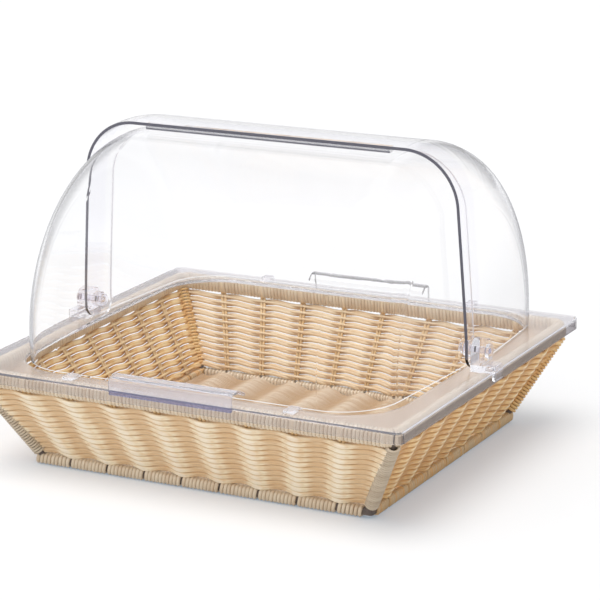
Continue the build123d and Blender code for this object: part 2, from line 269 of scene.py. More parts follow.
def placed_copy(piece, place):
    """A copy of a piece moved to a place."""
    copied = duplicate(piece)
    copied.location = place
    apply_place(copied)
    return copied


def join(pieces):
    """Makes one object of several."""
    select_only(*pieces)
    bpy.ops.object.join()
    return bpy.context.object


def spaced(count, pitch):
    """Places at a pitch, evenly to both sides of the middle."""
    return [(i - (count - 1) / 2) * pitch for i in range(count)]


def cut_end(piece, at, outward):
    """Cuts off what stands past a plane and closes the cut."""
    open_mesh(piece)
    bpy.ops.mesh.bisect(plane_co=at, plane_no=outward, use_fill=True, clear_outer=True)
    close_mesh()


def wave_tube(pitch, steps, sides, half_wide, half_tall, swing, fullness=None):
    """One stake pitch of a strand along X: its rings follow swing(share) = (y, z) and swell by fullness."""
    tube = start_piece(bpy.ops.mesh.primitive_circle_add, (half_wide, half_tall, 1), vertices=sides,
                       radius=1.0, rotation=(math.pi / 2, 0, math.pi / 2))
    open_mesh(tube)
    at = Vector((0, *swing(0)))
    bpy.ops.transform.translate(value=at)
    for step in range(1, steps + 1):
        share = step / steps
        to = Vector((pitch * share, *swing(share)))
        bpy.ops.mesh.extrude_region_move(TRANSFORM_OT_translate={"value": to - at})
        if fullness:
            swell = fullness(share) / fullness((step - 1) / steps)
            bpy.ops.transform.resize(value=(1, 1, swell), center_override=to)
        at = to
    close_mesh()
    return tube


def turn_of_strand(sizes, across, tall, corner):
    """One turn of strand round a bar that runs along X, centred on the origin."""
    round_half = sizes.turn_pitch / 2
    turn = start_piece(
        bpy.ops.mesh.primitive_torus_add, rotation=(0, math.pi / 2, 0), major_segments=12,
        minor_segments=8, major_radius=corner - round_half, minor_radius=round_half)
    open_mesh(turn)
    for axis, grow in ((1, across / 2 - corner), (2, tall / 2 - corner)):
        for side in (-1, 1):
            move = [sizes.turn_slant / 2 * side if axis == 2 else 0, 0, 0]
            move[axis] = side * grow
            shift(lambda place: place[axis] * side > TINY, move)
    close_mesh()
    return turn


def rounded_rod(radius, depth, **place):
    """A stake with rounded ends."""
    rod = start_piece(bpy.ops.mesh.primitive_cylinder_add, vertices=8, radius=radius, depth=depth, **place)
    open_mesh(rod)
    bpy.ops.mesh.bevel(offset=radius / 3, segments=2)
    close_mesh()
    return rod


def lean_out(piece, sizes, facts):
    """Spreads a level panel towards its top and leans it out along its wall."""
    modify(piece, "SIMPLE_DEFORM", deform_method="TAPER", deform_axis="Z", lock_y=True,
           factor=sizes.stake_spread - 1)
    piece.rotation_euler[0] = facts["lean"]
    piece.location = (0, -facts["foot"], facts["bottom"])
    apply_place(piece)


def hand_over(piece, name, material, body, node):
    """Names a piece, gives it its finish, parents it to its body's empty and hides the part it stands for."""
    piece.name = name
    piece.data.name = name
    piece.data.materials.clear()
    piece.data.materials.append(material)
    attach(piece, body)
    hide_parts(node)
    return piece


def finish(piece, name, material, node):
    """Smooths a basket piece and hands it over."""
    open_mesh(piece)
    bpy.ops.mesh.normals_make_consistent(inside=False)
    close_mesh()
    bpy.ops.object.shade_smooth_by_angle(angle=math.radians(62))
    hand_over(piece, name, material, "basket", node)


def finish_side(piece, side, name, material, slot, node):
    """Turns a piece from the front to its side of the bin and finishes it."""
    piece.rotation_euler[2] = math.radians(SIDES[side])
    apply_place(piece)
    finish(piece, f"{name}_{side}", material, f"{node}_{side}")


def finish_both(piece, run, *details):
    """Copies a piece and finishes one for each of the two sides of its run."""
    for each, side in zip((piece, duplicate(piece)), RUNS[run][0]):
        finish_side(each, side, *details)


# ---- shader helpers
class Number:
    """A shader value whose arithmetic adds Math nodes."""

    def __init__(self, made, socket):
        self.made = made
        self.socket = socket

    def math(self, operation, *others, clamp=False):
        node = self.made.add("ShaderNodeMath", {"operation": operation, "use_clamp": clamp},
                             dict(enumerate(others)))
        return Number(self.made, node.outputs[0])

    def __add__(self, other):
        return self.math("ADD", self, other)

    def __sub__(self, other):
        return self.math("SUBTRACT", self, other)

    def __rsub__(self, other):
        return self.math("SUBTRACT", other, self)

    def __mul__(self, other):
        return self.math("MULTIPLY", self, other)

    def __truediv__(self, other):
        return self.math("DIVIDE", self, other)

    __radd__ = __add__
    __rmul__ = __mul__

    def held(self):
        """The value held between 0 and 1."""
        return self.math("ADD", self, 0.0, clamp=True)

    def size(self):
        """The value without its sign."""
        return self.math("ABSOLUTE", self)

    def larger(self, other):
        """The larger of two values."""
        return self.math("MAXIMUM", self, other)

    def over(self, edge, soft):
        """0 below an edge and 1 above it, with a soft step."""
        return ((self - edge) / soft + 0.5).held()

    def under(self, edge, soft):
        """1 below an edge and 0 above it, with a soft step."""
        return 1 - self.over(edge, soft)


class NodeSet:
    """The nodes of one material or world."""

    def __init__(self, owner):
        owner.use_nodes = True
        self.tree = owner.node_tree
        self.tree.nodes.clear()

    def add(self, kind, settings=None, sockets=None):
        """One node: its type, its settings, then the values or links of its sockets."""
        node = self.tree.nodes.new(kind)
        for key, setting in (settings or {}).items():
            setattr(node, key, setting)
        for key, given in (sockets or {}).items():
            if isinstance(given, Number):
                given = given.socket
            if isinstance(given, bpy.types.NodeSocket):
                self.tree.links.new(given, node.inputs[key])
            else:
                node.inputs[key].default_value = given
        return node

    def number(self, node, output):
        return Number(self, node.outputs[output])

    def place(self):
        """The Object coordinates."""
        return self.add("ShaderNodeTexCoord").outputs["Object"]

    def axes(self, vector):
        """A vector's three numbers."""
        split = self.add("ShaderNodeSeparateXYZ", None, {0: vector})
        return [self.number(split, i) for i in range(3)]

    def noise(self, vector, scale, detail=2.0):
        """Noise on coordinates stretched by a different scale along each axis, from 0 to 1."""
        mapped = self.add("ShaderNodeMapping", None, {"Vector": vector, "Scale": scale})
        noise = self.add("ShaderNodeTexNoise", None,
                         {"Vector": mapped.outputs[0], "Scale": 1.0, "Detail": detail, "Roughness": 0.55})
        return self.number(noise, "Fac")

    def mix(self, share, first, second):
        """A colour between two colours."""
        first, second = (given if isinstance(given, bpy.types.NodeSocket) else (*given[:3], 1)
                         for given in (first, second))
        node = self.add("ShaderNodeMix", {"data_type": "RGBA"}, {"Factor": share, 6: first, 7: second})
        return node.outputs[2]

    def rays(self, *kinds):
        """A mask of each of these kinds of ray."""
        path = self.add("ShaderNodeLightPath")
        return [self.number(path, f"Is {kind} Ray") for kind in kinds]

    def blend(self, share, first, second):
        """A shader between the shaders of two nodes."""
        return self.add("ShaderNodeMixShader", None, {
            0: share, 1: first.outputs[0], 2: second.outputs[0]})

    def end(self, shader):
        """Ends a material with a node's shader."""
        self.add("ShaderNodeOutputMaterial", None, {"Surface": shader.outputs[0]})


def stretch(run, along, across):
    """Noise scales along the run of a side and across it."""
    return (along, across, across) if run == "x" else (across, along, across)


def cane(name, light, deep, tone_scale, grain_scale, gloss=0.40, painted_shade=None, highlight_or_tie=None, pale=None):
    """Satin synthetic cane: each length its own tone, fine lines along it, and where asked painted shade in
    its hollows and a paler colour over a mask (painted highlights on the walls, the rim's colour on the
    stakes' ties).
    """
    tone_part, broad_part, grain_part, level = 3.0, 1.3, 0.8, 2.15  # what makes a length light or deep
    painted_shade_fade = (0.84, 0.74, 0.62)  # colour of the painted shade against the deep colour
    rough_reach = 0.22  # roughness from the smoothest line to the roughest
    material = bpy.data.materials.new(name)
    made = NodeSet(material)
    place = made.place()
    tone = made.noise(place, tone_scale, detail=1.0)
    broad = made.noise(place, (23, 23, 23))
    grain = made.noise(place, grain_scale, detail=3.0)
    share = (tone * tone_part + broad * broad_part + grain * grain_part - level).held()
    colour = made.mix(share, light, deep)
    # Painted shade, mixed in where the mask is high.
    if painted_shade:
        shade = [part * fade for part, fade in zip(deep, painted_shade_fade)]
        colour = made.mix(painted_shade(*made.axes(place)), colour, shade)
    # A paler colour over the mask: painted highlight on the walls, the rim's colour on the stakes' ties.
    if highlight_or_tie:
        colour = made.mix(highlight_or_tie(*made.axes(place)), colour, pale)
    bump = made.add("ShaderNodeBump", None, {"Strength": 0.35, "Distance": 0.0003, "Height": grain})
    made.end(made.add("ShaderNodeBsdfPrincipled", None, {
        "Base Color": colour, "Roughness": grain * rough_reach + (gloss - rough_reach / 2),
        "Normal": bump.outputs[0], "IOR": 1.48, "Coat Weight": 0.2, "Coat Roughness": 0.18}))
    return material


def wound_cane(name, light, deep, run):
    """Cane wound round a bar, in narrow turns."""
    return cane(name, light, deep, stretch(run, 260, 9), stretch(run, 2600, 40))


def clear_plastic(name, body, tints=(), cut=None, pale=None, rough=0.02, through=1.0, bend=None):
    """Clear plastic with painted shade where it is seen along its surface, slate painted shade on cut edges
    and painted highlight on pale edges, open to lamps.
    """
    finishes = bpy.context.scene.bin_finishes
    slant_from, slant_reach = 0.62, 0.36  # of the way from square on to along the surface
    material = bpy.data.materials.new(name)
    made = NodeSet(material)
    axes = made.axes(made.place())
    facing = made.number(made.add("ShaderNodeLayerWeight", None, {"Blend": 0.5}), "Facing")
    slant = ((facing - slant_from) / slant_reach).held()
    # Painted shade towards the silhouettes.
    colour = made.mix(slant * slant, body, finishes.silhouette_shade)
    for mask, tint in tints:
        colour = made.mix(mask(*axes), colour, tint)
    shader = made.add("ShaderNodeBsdfPrincipled", None, {
        "Base Color": colour, "Roughness": rough(*axes) if callable(rough) else rough,
        "IOR": bend or finishes.bend, "Transmission Weight": through})
    # Painted shade on the edges the cut mask marks and painted highlight on those the pale mask marks, as
    # solid plastic.
    for mask, edge, edge_rough in ((cut, finishes.edge, 0.35), (pale, finishes.edge_highlight, 0.2)):
        if mask:
            solid = made.add("ShaderNodeBsdfPrincipled", None, {
                "Base Color": (*edge, 1), "Roughness": edge_rough, "IOR": 1.45})
            shader = made.blend(mask(*axes), shader, solid)
    shadow, diffuse = made.rays("Shadow", "Diffuse")
    clear_way = made.add("ShaderNodeBsdfTransparent", None, {"Color": (0.97, 0.97, 0.975, 1)})
    made.end(made.blend(shadow.larger(diffuse), shader, clear_way))
    return material


def clear_piece(node, body, material, moves):
    """A copy of a clear part whose glued faces stand a hair off what they are glued to."""
    piece = duplicate(nodes[node])
    open_mesh(piece)
    bpy.ops.mesh.remove_doubles(threshold=TINY)
    for test, offset in moves:
        shift(test, offset)
    bpy.ops.mesh.select_all(action="SELECT")
    bpy.ops.mesh.normals_make_consistent(inside=False)
    close_mesh()
    bpy.ops.mesh.customdata_custom_splitnormals_clear()
    bpy.ops.object.shade_smooth_by_angle(angle=math.radians(28))
    return hand_over(piece, f"clear_{node}", material, body, node)


# ---- the basket
class BIN_OT_wind_rim(bpy.types.Operator):
    """Winds cane round the bar of the rim, one length to a side"""

    bl_idname = "bin.wind_rim"
    bl_label = "Wind the rim"

    def execute(self, context):
        sizes, finishes = context.scene.bin_sizes, context.scene.bin_finishes
        wall = sizes.strand_thick
        across = 0.011  # width of the winding
        bend = 0.016  # outer radius of the rim's corners
        end_turn = math.radians(34)  # how far a side's winding runs on round a corner
        end_steps = 3  # turns of strand in that
        tall = RIM_BAR[1][2] - RIM_BAR[0][2] + 2 * wall
        middle = (RIM_BAR[1][2] + RIM_BAR[0][2]) / 2
        one = turn_of_strand(sizes, across, tall, across / 2)
        for run, along, out in (("x", 0, 1), ("y", 1, 0)):
            half = RIM_BAR[1][along] + wall - bend
            line = -(RIM_BAR[1][out] + wall - across / 2)
            count = round(2 * half / sizes.turn_pitch)
            pitch = 2 * half / count
            lengths = [placed_copy(one, (-half + pitch, line, middle))]
            repeat(lengths[0], (pitch, 0, 0), count - 1)
            for side in (-1, 1):
                lengths.append(placed_copy(one, (side * half, line, middle)))
                open_mesh(lengths[-1])
                bpy.ops.mesh.spin(steps=end_steps, dupli=True, angle=-side * end_turn, axis=(0, 0, 1),
                                  center=(side * half, line + bend - across / 2, middle))
                close_mesh()
            material = wound_cane(f"rim_cane_{run}", finishes.winding, finishes.winding_deep, run)
            finish_both(join(lengths), run, "rim_winding", material, "wrap_strand", "rim_wrap")
        bpy.data.objects.remove(one)
        return {"FINISHED"}


class BIN_OT_wind_base(bpy.types.Operator):
    """Winds cane round the bar of the base, with a bare notch at each stake"""

    bl_idname = "bin.wind_base"
    bl_label = "Wind the base"

    def execute(self, context):
        sizes, finishes = context.scene.bin_sizes, context.scene.bin_finishes
        wall = sizes.strand_thick
        corner = 0.0045  # outer radius of a turn's own corners
        notch = 0.0022  # bare steel at a stake
        bare = 0.001  # bare steel between a length and the side past its corner
        band = BASE_BAR[1][2] - BASE_BAR[0][2] + 2 * wall
        middle = (BASE_BAR[1][2] + BASE_BAR[0][2]) / 2
        over = band + bare  # how far a length runs on over its corner
        runs_on = {"front": (over, 0), "back": (0, 0), "right": (0, over), "left": (over, 0)}
        one = turn_of_strand(sizes, band, band, corner)
        materials = {
            "x": wound_cane("base_cane_x", finishes.winding, finishes.winding_deep, "x"),
            # Painted shade: the sides' base winding takes the darker, warmer side cane.
            "y": wound_cane("base_cane_y", finishes.side_base_shaded, finishes.side_shaded_deep, "y")}
        for side, (before, after) in runs_on.items():
            run, along, out = ("x", 0, 1) if side in RUNS["x"][0] else ("y", 1, 0)
            half = BASE_BAR[1][along] + wall - band - bare
            line = -(BASE_BAR[1][out] + wall - band / 2)
            places = spaced(RUNS[run][1], sizes.stake_pitch)
            cuts = [-half - before] + [p for p in places if abs(p) < half - notch] + [half + after]
            lengths = []
            for i in range(len(cuts) - 1):
                start = cuts[i] + (notch / 2 if i else 0)
                end = cuts[i + 1] - (notch / 2 if i < len(cuts) - 2 else 0)
                count = round((end - start) / sizes.turn_pitch)
                pitch = (end - start) / count
                lengths.append(placed_copy(one, (start + pitch / 2, line, middle)))
                repeat(lengths[-1], (pitch, 0, 0), count)
            finish_side(join(lengths), side, "base_winding", materials[run], "wrap_strand", "base_wrap")
        bpy.data.objects.remove(one)
        return {"FINISHED"}


class BIN_OT_wind_corners(bpy.types.Operator):
    """Winds cane round the four leaning corner rods"""

    bl_idname = "bin.wind_corners"
    bl_label = "Wind the corners"

    def execute(self, context):
        sizes, finishes = context.scene.bin_sizes, context.scene.bin_finishes
        radius = 0.007
        splay = 0.0018  # how far the head of a winding stands out from its rod, over the strands' ends
        clear = 0.0026  # from the foot of the rod's sleeve to the middle of the first turn
        tucked = 0.001  # how far the middle of the last turn stands past the sleeve, under the rim
        fill = 0.92  # share of the pitch that a turn takes up
        coarser = 1.25  # pitch of the back corners' turns against the front ones'
        painted_corner_shade, painted_corner_shade_deep, painted_corner_shade_back = 0.80, 0.72, 0.88  # painted shade: the corners' colours against the rim's and the side walls'
        materials = {
            "front": cane("corner_cane_front", [part * painted_corner_shade for part in finishes.winding],
                          [part * painted_corner_shade_deep for part in finishes.winding_deep], (9, 9, 300), (40, 40, 2600)),
            "back": cane("corner_cane_back", [part * painted_corner_shade_back for part in finishes.side],
                         finishes.side_shaded_deep, (9, 9, 240), (40, 40, 2100))}
        for corner, (side_x, side_y) in CORNERS.items():
            low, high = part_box(f"corner_post_{corner}")
            inner = Vector((low[0] if side_x > 0 else high[0], low[1] if side_y > 0 else high[1], low[2]))
            outer = Vector((high[0] if side_x > 0 else low[0], high[1] if side_y > 0 else low[1], high[2]))
            outward = Vector((side_x, side_y, 0))
            foot = inner + outward * (ROD_WIDE / 2)
            head = outer - outward * (ROD_WIDE / 2 - splay)
            line = (head - foot).normalized()
            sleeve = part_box(f"corner_wrap_{corner}")
            start = foot + line * ((sleeve[0][2] + clear - foot.z) / line.z)
            end = foot + line * ((sleeve[1][2] + tucked - foot.z) / line.z)
            end_of_bin = corner.split("_")[0]
            pitch = sizes.corner_pitch * (1 if end_of_bin == "front" else coarser)
            count = round((end - start).length / pitch) + 1
            winding = start_piece(
                bpy.ops.mesh.primitive_torus_add, location=start, major_segments=14, minor_segments=8,
                rotation=line.to_track_quat("Z", "Y").to_euler(),
                major_radius=radius - pitch * fill / 2, minor_radius=pitch * fill / 2)
            repeat(winding, (end - start) / (count - 1), count)
            finish(winding, f"corner_winding_{corner}", materials[end_of_bin],
                   f"corner_wrap_{corner}")
        return {"FINISHED"}


def wall_facts(run):
    """The lean, foot and half lengths of the walls that run along X or along Y."""
    along, out = (0, 1) if run == "x" else (1, 0)
    low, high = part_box("wall_weave_front" if run == "x" else "wall_weave_right")
    band = BASE_BAR[1][2] - BASE_BAR[0][2]
    half_thick = 0.0035
    foot = BASE_BAR[1][out] - band / 2
    rise = high[2] - low[2]
    reach = max(abs(low[out]), abs(high[out])) - half_thick - foot
    return {
        "foot": foot, "bottom": low[2], "rise": rise, "slope": math.hypot(rise, reach),
        "lean": math.atan2(reach, rise), "top_half": max(abs(low[along]), abs(high[along]))}


class BIN_OT_weave_walls(bpy.types.Operator):
    """Weaves the four walls, each row two strands outside the stakes and a thin one across them inside"""

    bl_idname = "bin.weave_walls"
    bl_label = "Weave the walls"

    def execute(self, context):
        sizes, finishes = context.scene.bin_sizes, context.scene.bin_finishes
        pitch = sizes.stake_pitch
        inner_line, inner_swing = 0.0020, 0.0008  # inwards from the middle of the wall
        inner_half, outer_half = 0.0007, 0.0018  # half the thickness of the strands
        inner_tall, outer_tall = 0.17, 0.305  # half the height of the strands, in rows
        upper, lower = 0.655, 0.345  # where the two outer strands lie in a row
        slim = 0.93  # height of an outer strand between stakes against its height at one
        keen = 1.4  # how narrow the bend at a stake is
        spare = 3  # pitches that are woven and cut off again
        buried = 0.0085  # how far the strands run on into the corner windings
        painted_shade_middle, painted_shade_reach = 0.0001, 0.0018  # painted shade between the strands: where it is darkest, outwards from the middle of the wall, and how far it reaches

        def near_stake(share):
            return (0.5 + math.cos(math.tau * share) / 2) ** keen

        def fullness(share):
            return slim + (1 - slim) * near_stake(share)

        for run, (_, stakes) in RUNS.items():
            facts = wall_facts(run)
            row = (facts["slope"] - sizes.top_gap - sizes.bottom_gap) / sizes.rows

            def inner_path(share):
                return inner_line + inner_swing * math.cos(math.tau * share), row / 2

            def outer_path(share):
                return (sizes.weave_in - (sizes.weave_in + sizes.weave_out) * near_stake(share),
                        height - sizes.row_sweep * math.sin(math.tau * share))

            strands = [wave_tube(pitch, 4, 6, inner_half, row * inner_tall, inner_path)]
            for height in (row * upper, row * lower):
                strands.append(wave_tube(pitch, 10, 8, outer_half, row * outer_tall, outer_path, fullness))
            for strand in strands:
                repeat(strand, (pitch, 0, 0), stakes + spare, joined=True)
            panel = join(strands)
            repeat(panel, (0, 0, row), sizes.rows)
            panel.location = (-(stakes + 1) / 2 * pitch, 0, sizes.bottom_gap)
            apply_place(panel)
            wander(panel, f"wall_drift_{run}", "Z", sizes.drift, grain=0.03)
            wander(panel, f"wall_swell_{run}", "Y", sizes.drift * 0.7, grain=0.02)
            lean_out(panel, sizes, facts)
            along = 0 if run == "x" else 1
            low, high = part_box("corner_post_back_right")
            slide = (high[along] - low[along] - ROD_WIDE) / (high[2] - low[2])
            for side in (-1, 1):
                cut_end(panel, (side * (facts["top_half"] + buried), 0, facts["bottom"] + facts["rise"]),
                        (side, 0, -slide))
            lean, foot, bottom = facts["lean"], facts["foot"], facts["bottom"]

            def out_of_wall(x, y, z):
                out = (y if run == "x" else x).size()
                return (out - foot) * math.cos(lean) - (z - bottom) * math.sin(lean)

            def share_of_row(x, y, z):
                out = (y if run == "x" else x).size()
                rows_up = ((z - bottom) * math.cos(lean) + (out - foot) * math.sin(lean)) / row
                return rows_up.math("FRACT", rows_up)

            # Painted shade: darker between the inner and outer strands, on the front and back walls' inside
            # face and in the seams between the side walls' rows.
            def painted_shade_between_strands(x, y, z):
                depth = out_of_wall(x, y, z) - painted_shade_middle
                dark = 0.85 if run == "x" else 0.95
                painted_inside_shade, painted_seam_shade = 0.22, 0.8
                middle = (1 - depth.size() / painted_shade_reach).held() * dark
                if run == "x":
                    return middle.larger(depth.under(-0.0012, soft=0.0012) * painted_inside_shade)
                seam_from, seam_soft = 0.34, 0.10  # from the middle of a row, in rows
                seam = ((share_of_row(x, y, z) - 0.5).size() - seam_from) / seam_soft
                return middle.larger(seam.held() * painted_seam_shade)

            # Painted highlight: paler on the front and back walls' outer crests; on the side walls, dots
            # where the strands bulge out at the stakes and a stripe along their inside faces.
            def painted_highlight(x, y, z):
                depth = out_of_wall(x, y, z)
                if run == "x":
                    return depth.over(0.0036, soft=0.0010) * 0.55
                tip_reach, tip_share, inside_share = 0.22, 1.5, 0.5
                tip = (1 - (share_of_row(x, y, z) - upper).size() / tip_reach).held() * tip_share
                inside = (0 - depth).over(0.0027, soft=0.0008) * inside_share
                return (depth.over(0.0038, soft=0.0010) * tip).larger(inside).held()

            # The pale colours are painted highlights, and the side walls' colours are painted shade.
            light, deep, pale = (
                (finishes.wall, finishes.wall_deep, finishes.wall_highlight) if run == "x"
                else (finishes.side, finishes.side_shaded_deep, finishes.side_highlight))
            material = cane(f"wall_cane_{run}", light, deep, stretch(run, 7, 290), stretch(run, 45, 2300),
                            painted_shade=painted_shade_between_strands, highlight_or_tie=painted_highlight, pale=pale)
            finish_both(panel, run, "wall_strands", material, "wall_strand", "wall_weave")
        return {"FINISHED"}


class BIN_OT_set_stakes(bpy.types.Operator):
    """Sets the pairs of stakes up the inside of the four walls and ties them to the rim"""

    bl_idname = "bin.set_stakes"
    bl_label = "Set the stakes"

    def execute(self, context):
        sizes, finishes = context.scene.bin_sizes, context.scene.bin_finishes
        radius = 0.0015
        apart = radius * 1.04  # from the middle of a pair to the middle of a stake
        inset = 0.0008  # from the middle of the wall in to the middle of the stakes
        tie_across, tie_tall, tie_middle = 0.0117, 0.0176, 0.0951
        rim_foot = tie_middle - 0.0055  # above this a tie has the rim's colour

        def on_rim(x, y, z):
            return z.over(rim_foot, soft=0.003) * 0.75

        material = cane("stake_cane", finishes.stake, finishes.stake_deep, (120, 120, 8), (1500, 1500, 40),
                        highlight_or_tie=on_rim, pale=finishes.winding)
        for run, (_, stakes) in RUNS.items():
            facts = wall_facts(run)
            rod = rounded_rod(radius, facts["slope"], location=(0, inset, facts["slope"] / 2))
            pairs = join([placed_copy(rod, (-apart, 0, 0)), placed_copy(rod, (apart, 0, 0))])
            bpy.data.objects.remove(rod)
            repeat(pairs, (sizes.stake_pitch, 0, 0), stakes)
            pairs.location = (spaced(stakes, sizes.stake_pitch)[0], 0, 0)
            apply_place(pairs)
            lean_out(pairs, sizes, facts)
            line = -(RIM_BAR[1][1 if run == "x" else 0] + sizes.strand_thick - tie_across / 2 - TINY)
            tie = turn_of_strand(sizes, tie_across, tie_tall, tie_across / 2)
            ties = [placed_copy(tie, (at, line, tie_middle))
                    for at in spaced(stakes, sizes.stake_pitch * sizes.stake_spread)]
            bpy.data.objects.remove(tie)
            finish_both(join([pairs] + ties), run, "stake_pairs", material, "stake_strand", "wall_stakes")
        return {"FINISHED"}


class BIN_OT_weave_floor(bpy.types.Operator):
    """Weaves the floor, its strands humped over the stakes that run from front to back"""

    bl_idname = "bin.weave_floor"
    bl_label = "Weave the floor"

    def execute(self, context):
        sizes, finishes = context.scene.bin_sizes, context.scene.bin_finishes
        pitch = sizes.stake_pitch
        units = 10  # pitches that are woven before the ends are cut
        fill = 0.49  # half the width of a strand, in pitches of the floor
        low, high = FLOOR
        middle = (low[2] + high[2]) / 2
        half_thick = (high[2] - low[2]) / 2 - sizes.floor_depth
        strand = wave_tube(pitch, 12, 6, sizes.floor_pitch * fill, half_thick,
                           lambda share: (0, middle + sizes.floor_depth * math.cos(math.tau * share)))
        repeat(strand, (pitch, 0, 0), units, joined=True)
        count = int((high[1] - low[1]) / sizes.floor_pitch)
        step = (high[1] - low[1]) / count
        strand.location = (spaced(units, pitch)[0], low[1] + step / 2, 0)
        apply_place(strand)
        for side, edge in ((-1, low[0]), (1, high[0])):
            cut_end(strand, (edge, 0, 0), (side, 0, 0))
        repeat(strand, (0, step, 0), count)
        wander(strand, "floor_drift", "Y", sizes.drift * 0.9, grain=0.03)

        # Painted shade: the floor darker towards the bottom of its troughs.
        def painted_trough_shade(x, y, z):
            return (1.05 - (z - low[2]) / (high[2] - low[2])).held()

        material = cane("floor_cane", finishes.floor, finishes.floor_deep, (7, 330, 60), (45, 2300, 900),
                        gloss=0.42, painted_shade=painted_trough_shade)
        finish(strand, "floor_strands", material, "floor_weave")

        under, over = FLOOR_STAKES
        radius = (over[2] - under[2]) / 2
        apart = radius * 1.35  # from the middle of a pair to the middle of a stake
        rod = rounded_rod(radius, over[1] - under[1], rotation=(math.pi / 2, 0, 0),
                          location=(0, 0, (over[2] + under[2]) / 2))
        rod.scale[0] = 1.3  # broader than tall
        stakes = join([placed_copy(rod, (at + side * apart, 0, 0))
                       for at in spaced(RUNS["x"][1], pitch) for side in (-1, 1)])
        bpy.data.objects.remove(rod)
        material = cane("floor_stake_cane", finishes.stake, finishes.stake_deep,
                        (120, 8, 120), (1500, 40, 1500))
        finish(stakes, "floor_stake_pairs", material, "floor_stakes")
        return {"FINISHED"}


class BIN_OT_finish_steel(bpy.types.Operator):
    """Paints the steel bars and rods"""

    bl_idname = "bin.finish_steel"
    bl_label = "Finish the steel"

    def execute(self, context):
        finishes = context.scene.bin_finishes
        worn = 2.3  # brightness of the worn paint against the rest
        material = bpy.data.materials.new("painted_steel")
        made = NodeSet(material)
        place = made.place()
        mottle = made.noise(place, (120, 120, 120), detail=4.0)
        specks = made.noise(place, (900, 900, 900))
        share = (mottle * 1.6 + specks * 0.8 - 0.9).held()
        colour = made.mix(share, finishes.steel, [worn * part for part in finishes.steel])
        bump = made.add("ShaderNodeBump", None, {"Strength": 0.3, "Distance": 0.0003, "Height": specks})
        made.end(made.add("ShaderNodeBsdfPrincipled", None, {
            "Base Color": colour, "Roughness": specks * 0.3 + 0.3, "Normal": bump.outputs[0]}))
        for name, node in nodes.items():
            if name in ("rim_frame_bar", "base_frame_bar") or name.startswith("corner_post"):
                node.material_slots[0].material = material
        return {"FINISHED"}


